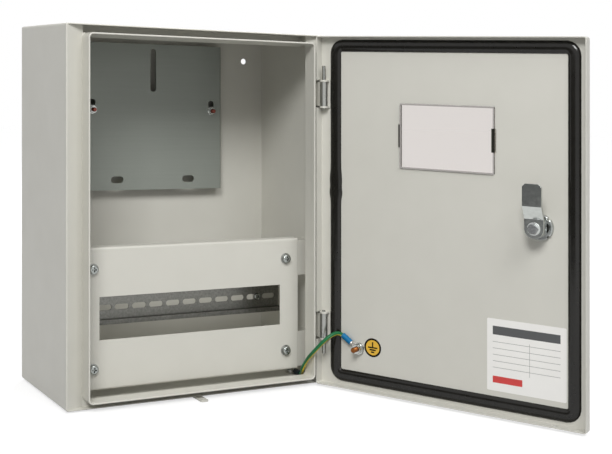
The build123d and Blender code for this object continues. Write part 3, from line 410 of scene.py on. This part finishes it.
screw_zinc = metal("screw zinc", (0.42, 0.44, 0.425, 1), (0.24, 0.255, 0.245, 1), 0.14, 0.002)
cover_rim, cover_head = 0.005, 0.0038
low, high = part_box("cover_screws")
cover_spots = [
    (x, low[1] + cover_head, z)
    for x in (low[0] + cover_rim, high[0] - cover_rim)
    for z in (low[2] + cover_rim, high[2] - cover_rim)
]
cover_screw = pan_screw(
    "cover_screw", cover_rim, cover_head, shoulder=0.0016, shank=0.0025, length=0.0077, finish=screw_zinc
)
cover_screws = set_out("cover_screws", cover_spots, cover_screw, screw_zinc, seed=5)
fit(cover_screws, "box", "zinc_fasteners", "cover_screws")

# Module rail: 35 mm top-hat rail, roll-formed from galvanised strip with a row of slots, screwed to two
# brackets on the side walls.
rail_zinc = metal("galvanised rail", (0.34, 0.34, 0.315, 1), (0.12, 0.12, 0.11, 1), 0.34, 0.0025)
dress(rail_zinc, "din_rail")
dress(grey_coat, "rail_bracket_left", "rail_bracket_right")
rail_rim, rail_head = 0.0042, 0.003
low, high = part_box("rail_screws")
rail_height = (low[2] + high[2]) / 2
rail_spots = [(x, low[1] + rail_head, rail_height) for x in (low[0] + rail_rim, high[0] - rail_rim)]
rail_screw = pan_screw(
    "rail_screw", rail_rim, rail_head, shoulder=0.0012, shank=0.002, length=0.0065, finish=screw_zinc
)
rail_screws = set_out("rail_screws", rail_spots, rail_screw, screw_zinc, seed=8)
fit(rail_screws, "box", "zinc_fasteners", "rail_screws")

# Door: one folded pan of the same coated sheet, notched at the hinges, with an opening for the window and a
# hole for the lock. It hangs on the two pins and stands open; its fittings are set out on its own plane.
dress(grey_coat, "door_panel")
swing = radians(118)
along = Vector((-cos(swing), -sin(swing), 0))
inward = Vector((-sin(swing), cos(swing), 0))
pin_inset = 0.007
door_corner = hinge_axis - (along + inward) * pin_inset
door_plane = Matrix.Translation(door_corner) @ Matrix((along, up, inward)).transposed().to_4x4()

# Earth points: an M6 copper-plated stud on the door and one on the body's floor, each with two washers, a
# tinned ring terminal and a hexagon nut. The door's terminal has a blue vinyl sleeve; the body's sleeve is
# coloured near-black as painted shade, for the shadow it lies in at the foot of the box.
copper = metal("copper plate", (0.27, 0.10, 0.03, 1), (0.17, 0.058, 0.016, 1), 0.28, 0.003)
tin = metal("tinned copper", (0.60, 0.58, 0.54, 1), (0.46, 0.44, 0.40, 1), 0.28, 0.003)
earth_radius, earth_pitch, earth_length = 0.003, 0.001, 0.0149
earth_flats, earth_thick, earth_seat = 0.010, 0.005, 0.0034
for place, body, foot, axis, side in (
    ("body", "box", Vector((0.138, -0.100, -0.1963)), up, out_of_wall),
    ("door", "door", door_plane @ Vector((0.049, -0.1515, sheet)), inward, up),
):
    rod = turned(*thread(earth_radius, earth_pitch, earth_length), rod_sides, foot, axis, side)
    stud = piece(f"{place}_earth_thread", *rod, copper)
    fit(stud, body, "copper_studs", f"{place}_earth_stud")
    seat = foot + axis * earth_seat
    prism = turned(*hexagon(earth_flats, earth_thick, ends=2), nut_sides, seat, axis, side)
    nut = piece(f"{place}_earth_hexagon", *prism, bright_zinc)
    fit(nut, body, "zinc_fasteners", f"{place}_earth_nut")
    dress(bright_zinc, f"{place}_earth_washers")
    dress(tin, f"{place}_ring_terminal")


def sleeve_vinyl(name, light, shade):
    """Soft vinyl tube with a faint cloud in its colour."""
    made = Finish(name, Roughness=0.42, Specular_IOR_Level=0.2)
    made.feed(Base_Color=made.mix(made.noise(0.004), light, shade))
    return made


sleeve_blue = sleeve_vinyl("blue vinyl sleeve", (0.002, 0.125, 0.285, 1), (0.003, 0.155, 0.35, 1))
dress(sleeve_blue, "door_terminal_sleeve")
# Painted shade: the body's sleeve is coloured near-black for the shadow it lies in.
sleeve_painted_shade = sleeve_vinyl("vinyl sleeve with painted shade", (0.006, 0.014, 0.016, 1), (0.010, 0.020, 0.022, 1))
dress(sleeve_painted_shade, "body_terminal_sleeve")

# Seal: black foam poured as one glossy bead round the inside of the door. It swells where the bead's end
# meets its start, on the hinge side.
foam = Finish("black foam skin", Specular_IOR_Level=0.32)
film = foam.noise(0.012)
foam.feed(Base_Color=foam.mix(film, (0.008, 0.0075, 0.006, 1), (0.013, 0.012, 0.010, 1)))
foam.feed(Roughness=film * 0.08 + 0.12)
foam.feed(Normal=foam.bumps(foam.noise(0.006), 0.0004, 0.15))

beads, add = node_group(
    "bead round a rectangle",
    [
        ("Base", "Geometry"),
        ("Line width", "Float"),
        ("Line height", "Float"),
        ("Corner", "Float"),
        ("Bead width", "Float"),
        ("Bead height", "Float"),
        ("Finish", "Material"),
    ],
)
given = add("NodeGroupInput", {}, {})
sides = {"Width": given["Line width"], "Height": given["Line height"]}
line = add("GeometryNodeCurvePrimitiveQuadrilateral", {}, sides)
rounding = {"Curve": line[0], "Count": 12, "Radius": given["Corner"]}
line = add("GeometryNodeFilletCurve", {"mode": "POLY"}, rounding)
line = add("GeometryNodeResampleCurve", {"mode": "LENGTH"}, {"Curve": line[0], "Length": 0.0025})
line = add("GeometryNodeSetCurveNormal", {"mode": "Z_UP"}, {"Curve": line[0]})
ring = add("GeometryNodeCurvePrimitiveCircle", {}, {"Resolution": 32, "Radius": 1.0})
spot = add("GeometryNodeInputPosition", {}, {})
half = add("ShaderNodeVectorMath", {"operation": "MINIMUM"}, {0: spot[0], 1: (2, 0, 2)})
half_width = add("ShaderNodeMath", {"operation": "MULTIPLY"}, {0: given["Bead width"], 1: 0.5})
size = add("ShaderNodeCombineXYZ", {}, {"X": half_width[0], "Y": given["Bead height"]})
dome = add("ShaderNodeVectorMath", {"operation": "MULTIPLY"}, {0: half[0], 1: size[0]})
ring = add("GeometryNodeSetPosition", {}, {"Geometry": ring[0], "Position": dome[0]})
bead = add("GeometryNodeCurveToMesh", {}, {"Curve": line[0], "Profile Curve": ring[0]})
smooth = add("GeometryNodeSetShadeSmooth", {}, {0: bead[0], "Shade Smooth": True})
painted = add("GeometryNodeSetMaterial", {}, {"Geometry": smooth[0], "Material": given["Finish"]})
add("NodeGroupOutput", {}, {"Made": painted[0]})

seal_line = {"Line width": 0.2732, "Line height": 0.3706, "Corner": 0.0085}
seal_bead = {"Bead width": 0.0135, "Bead height": 0.0032, "Finish": foam.material}
seal = run_group("poured_seal", beads, bpy.data.meshes.new("seal"), **seal_line, **seal_bead)
hinge_run = -seal_line["Line width"] / 2
near_line = 0.008
swells = ((0.16, 0.034, 0.009), (0.2, 0.019, 0.006))
for point in seal.data.vertices:
    off_line = point.co.x - hinge_run
    if abs(off_line) < near_line:
        swell = sum(gain * exp(-(((point.co.y - height) / spread) ** 2)) for gain, height, spread in swells)
        point.co.x += off_line * swell
seal_middle = (0.1562, 0.0008, sheet)
seal.data.transform(door_plane @ Matrix.Translation(seal_middle))
fit(seal, "door", "foam_seal", "door_gasket")

# Window: clear moulded plastic, snapped into the door from outside by a clip at each side. Its wall and the
# clip on the lock's side are coloured dark as painted shade, for the shade and dark edge that light gives
# them.
clear = Finish("clear plastic", Roughness=0.03, IOR=1.49, Transmission_Weight=1.0)
pane_middle = door_plane @ Vector((0.154, 0.0880, 0))
off_middle = clear.node("VectorMath", {"operation": "SUBTRACT"}, {0: clear.place(), 1: pane_middle}, 0)
across = clear.node("VectorMath", {"operation": "DOT_PRODUCT"}, {0: off_middle, 1: along}, 1)
rise = clear.node("SeparateXYZ", {}, {0: off_middle}, 2)
depth = clear.node("VectorMath", {"operation": "DOT_PRODUCT"}, {0: off_middle, 1: inward}, 1)
wall_across, wall_up, pane_reach, face_skin = 0.0527, 0.0337, 0.0546, 0.0001
clip_start, clip_half = 0.0500, 0.0125
# Masks for painted shade: the window's wall and the clip on the lock's side are coloured dark.
rim = (abs(across) > wall_across) + (abs(rise) > wall_up) > 0.5
wall = rim * (depth > face_skin) * (across < pane_reach)
clip_shade_painted = (across > clip_start) * (across < pane_reach) * (abs(rise) < clip_half)
wall_shade_painted = clear.mix(wall, (0.74, 0.70, 0.675, 1), (0.20, 0.19, 0.18, 1))
clear.feed(Base_Color=clear.mix(clip_shade_painted, wall_shade_painted, (0.02, 0.02, 0.015, 1)))
dress(clear, "door_window")

# Markings: a printed white vinyl label with ruled blank fields, and a round amber sticker with the earth
# sign, stuck beside the door's earth stud.


def sticker(name, outline, middle, finish, slot):
    """A thin sheet of that outline inside the door, with flat coordinates of its own for the print."""
    thick = 0.00012
    count = len(outline)
    points = [Vector((x, y, w)) for w in (0, thick) for x, y in outline]
    faces = [tuple(range(count - 1, -1, -1)), tuple(range(count, 2 * count))]
    for step in range(count):
        after = (step + 1) % count
        faces.append((step, after, count + after, count + step))
    made = piece(name, points, faces, finish)
    flat = made.data.uv_layers.new(name="print")
    for loop in made.data.loops:
        flat.data[loop.index].uv = points[loop.vertex_index].xy
    made.data.transform(door_plane @ Matrix.Translation((*middle, sheet)))
    fit(made, "door", slot)


def print_place(finish):
    """Across and up on a sticker, in metres from its middle."""
    flat = finish.node("UVMap", {"uv_map": "print"}, {})
    return [finish.node("SeparateXYZ", {}, {0: flat}, axis) for axis in (0, 1)]


vinyl = Finish("printed vinyl", Roughness=0.32)
x, y = print_place(vinyl)


def field(left, right, low, high):
    return (x > left) * (x < right) * (y > low) * (y < high)


edge, table_low, table_high = 0.036, -0.018, 0.016
rows_per_metre, rule_share = 150.0, 0.07
rules = ((y * rows_per_metre) % 1.0 < rule_share) * field(-edge, edge, table_low, table_high)
column = field(0.0035, 0.0039, table_low, table_high)
band = field(-edge, edge, 0.021, 0.030)
bar = field(-edge, -0.004, -0.029, -0.022)
print_ground = vinyl.mix(vinyl.noise(0.02), (0.86, 0.85, 0.82, 1), (0.82, 0.81, 0.78, 1))
ruled = vinyl.mix(rules + column, print_ground, (0.28, 0.28, 0.27, 1))
banded = vinyl.mix(band, ruled, (0.075, 0.078, 0.08, 1))
vinyl.feed(Base_Color=vinyl.mix(bar, banded, (0.58, 0.045, 0.04, 1)))
label_width, label_height, label_corner, corner_steps = 0.0845, 0.075, 0.0015, 8
label_middle = (0.24225, -0.1345)
label_outline = []
for turn, (side_x, side_y) in enumerate(((1, 1), (-1, 1), (-1, -1), (1, -1))):
    for step in range(corner_steps + 1):
        angle = pi / 2 * (turn + step / corner_steps)
        label_outline.append((
            side_x * (label_width / 2 - label_corner) + label_corner * cos(angle),
            side_y * (label_height / 2 - label_corner) + label_corner * sin(angle),
        ))
sticker("blank_label", label_outline, label_middle, vinyl, "painted_sheet")

amber = Finish("amber vinyl", Roughness=0.4, Specular_IOR_Level=0.1)
x, y = print_place(amber)
disc_radius, ring_start, disc_sides = 0.0104, 0.0083, 64
disc_middle = (0.0660, -0.1485)
stroke, stem_top = 0.0016, 0.0062
from_middle = amber.node("Math", {"operation": "SQRT"}, {0: x * x + y * y})
ring = from_middle > ring_start
sign = (abs(x) < stroke / 2) * (y > 0.0) * (y < stem_top)
for low, reach in ((-0.0008, 0.0058), (-0.0033, 0.0039), (-0.0058, 0.0020)):
    sign = sign + (abs(x) < reach) * (y > low) * (y < low + stroke)
gold = amber.mix(amber.noise(0.004), (0.78, 0.48, 0.07, 1), (0.72, 0.43, 0.05, 1))
amber.feed(Base_Color=amber.mix(ring + sign > 0.5, gold, (0.006, 0.005, 0.003, 1)))
disc_angles = [2 * pi * step / disc_sides for step in range(disc_sides)]
disc_outline = [(disc_radius * cos(angle), disc_radius * sin(angle)) for angle in disc_angles]
sticker("earth_sign", disc_outline, disc_middle, amber, "painted_sheet")

# Lock: a chromed die-cast housing held by a ring nut, with a plug that carries the cranked steel cam under
# a washer and a hexagon bolt.
chrome = metal("bright chrome", (0.42, 0.435, 0.425, 1), (0.28, 0.29, 0.285, 1), 0.14, 0.003)
cam_zinc = metal("cam zinc", (0.55, 0.57, 0.55, 1), (0.44, 0.46, 0.44, 1), 0.12, 0.004)
dress(chrome, "lock_body", "lock_nut", "lock_plug")
dress(cam_zinc, "lock_cam")
spring_steel = metal("spring washer", (0.80, 0.81, 0.80, 1), (0.66, 0.67, 0.66, 1), 0.30, 0.003)
dress(spring_steel, "cam_washer")
half_washer = 0.0006
low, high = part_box("cam_washer")
seat = (Vector(low) + Vector(high)) / 2 + inward * half_washer
# The bolt's zinc is mottled strongly light and dark at random.
mottled_zinc = metal("mottled zinc", (0.50, 0.51, 0.51, 1), (0.24, 0.25, 0.25, 1), 0.17, 0.0016, 0.0003)
bolt_flats, bolt_thick = 0.010, 0.004
prism = turned(*hexagon(bolt_flats, bolt_thick, ends=1), nut_sides, seat, inward, up)
bolt = piece("cam_bolt_head", *prism, mottled_zinc)
fit(bolt, "cam", "zinc_fasteners", "cam_bolt")

# Bonding lead: stranded copper in green and yellow insulation, free between its two terminals. From the
# door's sleeve it bows out round the lower hinge, so that it clears the lip at every angle of the door, and
# runs down to the body's floor.
route = [
    (0.16165, -0.18087, -0.14143),
    (0.15931, -0.17648, -0.13808),
    (0.1526, -0.1763, -0.1361),
    (0.1436, -0.1775, -0.1382),
    (0.1364, -0.1743, -0.1448),
    (0.1289, -0.1665, -0.1569),
    (0.1287, -0.1520, -0.1688),
    (0.1300, -0.1395, -0.1820),
    (0.1345, -0.1305, -0.1893),
    (0.1380, -0.1240, -0.1927),
    (0.1380, -0.1180, -0.1927),
]
lead_line = bpy.data.curves.new("lead line", "CURVE")
lead_line.dimensions = "3D"
spline = lead_line.splines.new("NURBS")
spline.points.add(len(route) - 1)
for knot, spot in zip(spline.points, route):
    knot.co = (*spot, 1)
spline.order_u = 3
spline.use_endpoint_u = True
spline.resolution_u = 12
line_holder = bpy.data.objects.new("lead line", lead_line)
bpy.context.scene.collection.objects.link(line_holder)
lead_path = bpy.data.meshes.new_from_object(line_holder)
bpy.data.objects.remove(line_holder)

sweeps, add = node_group(
    "round lead along its line", [("Line", "Geometry"), ("Radius", "Float"), ("Finish", "Material")]
)
given = add("NodeGroupInput", {}, {})
line = add("GeometryNodeMeshToCurve", {}, {0: given["Line"]})
run = add("GeometryNodeSplineParameter", {}, {})
named = {"data_type": "FLOAT", "domain": "POINT"}
run_store = {"Geometry": line[0], "Name": "run", "Value": run["Length"]}
line = add("GeometryNodeStoreNamedAttribute", named, run_store)
ring = add("GeometryNodeCurvePrimitiveCircle", {}, {"Resolution": 24, "Radius": given["Radius"]})
turn = add("GeometryNodeSplineParameter", {}, {})
turn_store = {"Geometry": ring[0], "Name": "turn", "Value": turn["Factor"]}
ring = add("GeometryNodeStoreNamedAttribute", named, turn_store)
tube = add("GeometryNodeCurveToMesh", {}, {"Curve": line[0], "Profile Curve": ring[0], "Fill Caps": True})
smooth = add("GeometryNodeSetShadeSmooth", {}, {0: tube[0], "Shade Smooth": True})
painted = add("GeometryNodeSetMaterial", {}, {"Geometry": smooth[0], "Material": given["Finish"]})
add("NodeGroupOutput", {}, {"Made": painted[0]})

insulation = Finish("green and yellow insulation", Roughness=0.38, Specular_IOR_Level=0.25)
run = insulation.node("Attribute", {"attribute_name": "run"}, {}, "Fac")
turn = insulation.node("Attribute", {"attribute_name": "turn"}, {}, "Fac")
turns_per_metre, stripe_start, stripe_share = 1.2, 0.88, 0.38
band = (turn - run * turns_per_metre + stripe_start) % 1.0 < stripe_share
green = insulation.mix(insulation.noise(0.006), (0.008, 0.110, 0.036, 1), (0.015, 0.155, 0.055, 1))
insulation.feed(Base_Color=insulation.mix(band, green, (0.58, 0.46, 0.03, 1)))
lead_radius = 0.0022
lead = run_group("bonding_lead", sweeps, lead_path, Radius=lead_radius, Finish=insulation.material)
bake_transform(lead)
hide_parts("earth_wire")

# Studio: a pale floor under the lug, a white surround and three soft lamps, two in front and one behind. A
# dark card on the left, seen only in reflections, gives the bright metal something to mirror.
floor_level, far = -0.1993, 6
floor_corners = [(-far, -far), (far, -far), (far, far), (-far, far)]
floor_mesh = bpy.data.meshes.new("floor")
floor_mesh.from_pydata([(x, y, floor_level) for x, y in floor_corners], [], [(0, 1, 2, 3)])
floor = bpy.data.objects.new("floor", floor_mesh)
bpy.context.scene.collection.objects.link(floor)


def background_rays(shading):
    """1 for the rays that look at the background: the camera's, and those of metal and glass."""
    total = shading.node("LightPath", {}, {}, "Is Camera Ray")
    for kind in ("Is Glossy Ray", "Is Transmission Ray"):
        ray = shading.node("LightPath", {}, {}, kind)
        total = shading.node("Math", {"operation": "MAXIMUM"}, {0: total, 1: ray})
    return total


ground = Finish("pale floor", Roughness=0.9, Base_Color=(0.4, 0.4, 0.4, 1), Emission_Strength=1.0)
away = ground.node("VectorMath", {"operation": "LENGTH"}, {0: ground.place()}, 1)
glow = ground.node(
    "MapRange", {}, {"Value": away, "From Min": 0.4, "From Max": 4.0, "To Min": 0.66, "To Max": 0.81}
)
ground.feed(Emission_Color=ground.mix(background_rays(ground) * glow, (0, 0, 0, 1), (1, 1, 1, 1)))
floor_mesh.materials.append(ground.material)

black_card = Finish("black card", Roughness=0.9, Base_Color=(0.13, 0.13, 0.13, 1))
card_mesh = bpy.data.meshes.new("dark card")
card_corners = [(-0.75, -1.0, -0.198), (-1.25, -1.05, -0.198), (-1.25, -1.05, 0.25)]
card_back = 0.1
card_points = card_corners + [(x, card_back, z) for x, y, z in card_corners]
card_mesh.from_pydata(card_points, [], [(0, 1, 4, 3), (1, 2, 5, 4)])
card_mesh.materials.append(black_card.material)
card = bpy.data.objects.new("dark card", card_mesh)
bpy.context.scene.collection.objects.link(card)
for ray in ("camera", "diffuse", "transmission", "shadow"):
    setattr(card, f"visible_{ray}", False)

world = bpy.data.worlds.new("studio")
bpy.context.scene.world = world
room = Shading(world)
surround = room.tree.nodes["Background"]
surround.inputs["Color"].default_value = (1, 1, 1, 1)
ambient = 0.27
room.join(surround.inputs["Strength"], background_rays(room) * (1 - ambient) + ambient)

aim = Vector((0.05, -0.12, 0))
for name, spot, size, power in (
    ("front lamp", (-1.10, -1.72, 1.40), 0.7, 34.0),
    ("top lamp", (0.15, -1.90, 1.80), 1.1, 23.5),
    ("rear lamp", (1.60, 1.90, 1.70), 1.2, 48.0),
):
    lamp = bpy.data.lights.new(name, "AREA")
    lamp.size = size
    lamp.energy = power
    holder = bpy.data.objects.new(name, lamp)
    bpy.context.scene.collection.objects.link(holder)
    holder.location = spot
    holder.rotation_euler = (aim - holder.location).to_track_quat("-Z", "Y").to_euler()

# Viewpoint: a level view camera to the left of the box, its back shifted so that upright edges stay upright
# and set a little askew. The shift is held by the stand, so the lens itself has none.
picture_width, picture_height = 612, 454
sight_x, sight_y = 257.215, 82.494
yaw, focal, askew, sensor = 0.5048, 1157.752, 0.0277, 36.0
right = Vector((cos(yaw), -sin(yaw), 0))
ahead = Vector((sin(yaw), cos(yaw), 0))
off_x = picture_width / 2 - sight_x
off_y = picture_height / 2 - sight_y
to_middle = ahead + right * (off_x / focal)
to_middle += up * (askew * off_x / focal - off_y / focal)
stand_turn = Matrix((right + up * askew, up, -to_middle)).transposed().to_4x4()
stand = bpy.data.objects.new("camera stand", None)
bpy.context.scene.collection.objects.link(stand)
camera_data = bpy.data.cameras.new("camera")
camera_data.sensor_width = sensor
camera_data.lens = focal * to_middle.length * sensor / picture_width
camera_data.clip_end = 100.0
camera = bpy.data.objects.new("camera", camera_data)
bpy.context.scene.collection.objects.link(camera)
camera.parent = stand
camera_place = Matrix.Translation((-0.55277, -1.26866, 0.14194))
camera.matrix_parent_inverse = camera_place @ stand_turn
bpy.context.scene.camera = camera
bpy.context.scene.view_settings.view_transform = "Standard"
